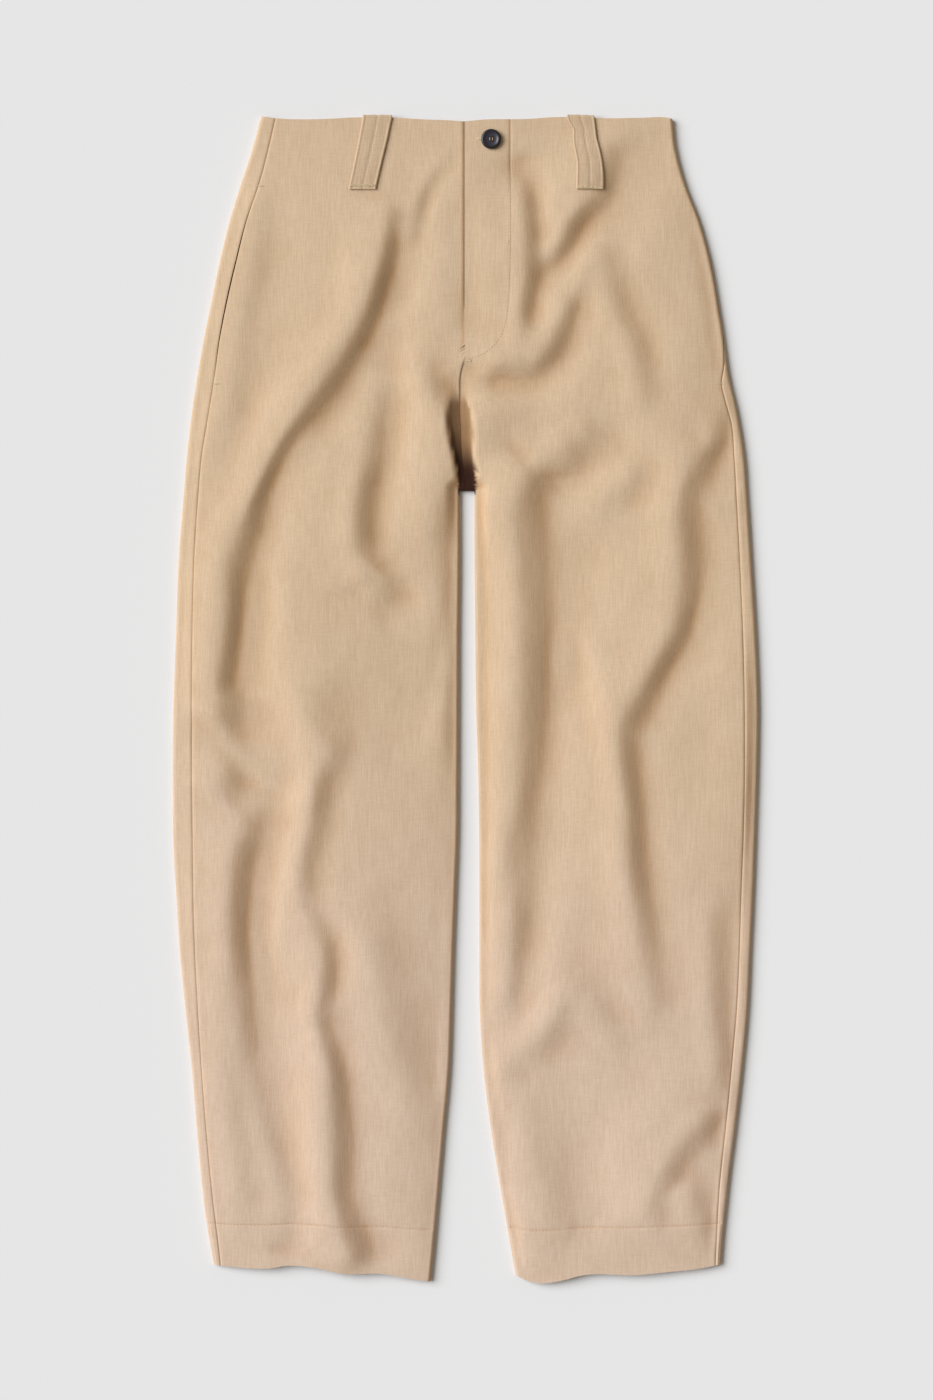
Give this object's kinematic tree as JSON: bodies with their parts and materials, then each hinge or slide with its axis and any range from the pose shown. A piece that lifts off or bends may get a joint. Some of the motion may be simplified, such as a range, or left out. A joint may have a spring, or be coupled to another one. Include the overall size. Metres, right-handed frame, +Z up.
{
  "type": "trousers",
  "caption": "Wide barrel-leg cotton trousers laid flat, front up, with a clean waist edge, a fly closed by a dark button, wide belt loops, slanted side pockets and turned hems.",
  "frame": {"origin": "middle of the laid trousers' outline, on the surface they lie on", "axes": "+X across the trousers towards the wearer's left leg, +Y towards the waist, +Z up from the surface"},
  "size_m": [0.5131, 1.0233, 0.0137],
  "materials": {
    "sand_twill": "matt cotton twill, sand",
    "pocket_cotton": "plain cotton",
    "dark_button": "dark, satin"
  },
  "bodies": {
    "root": {"front_right": "sand_twill", "front_left": "sand_twill", "back_right": "sand_twill", "back_left": "sand_twill", "belt_loop_front_right": "sand_twill", "belt_loop_front_left": "sand_twill", "belt_loop_back_right": "sand_twill", "belt_loop_back_left": "sand_twill", "pocket_right": "pocket_cotton", "pocket_left": "pocket_cotton", "waist_button": "dark_button"}
  },
  "joints": []
}
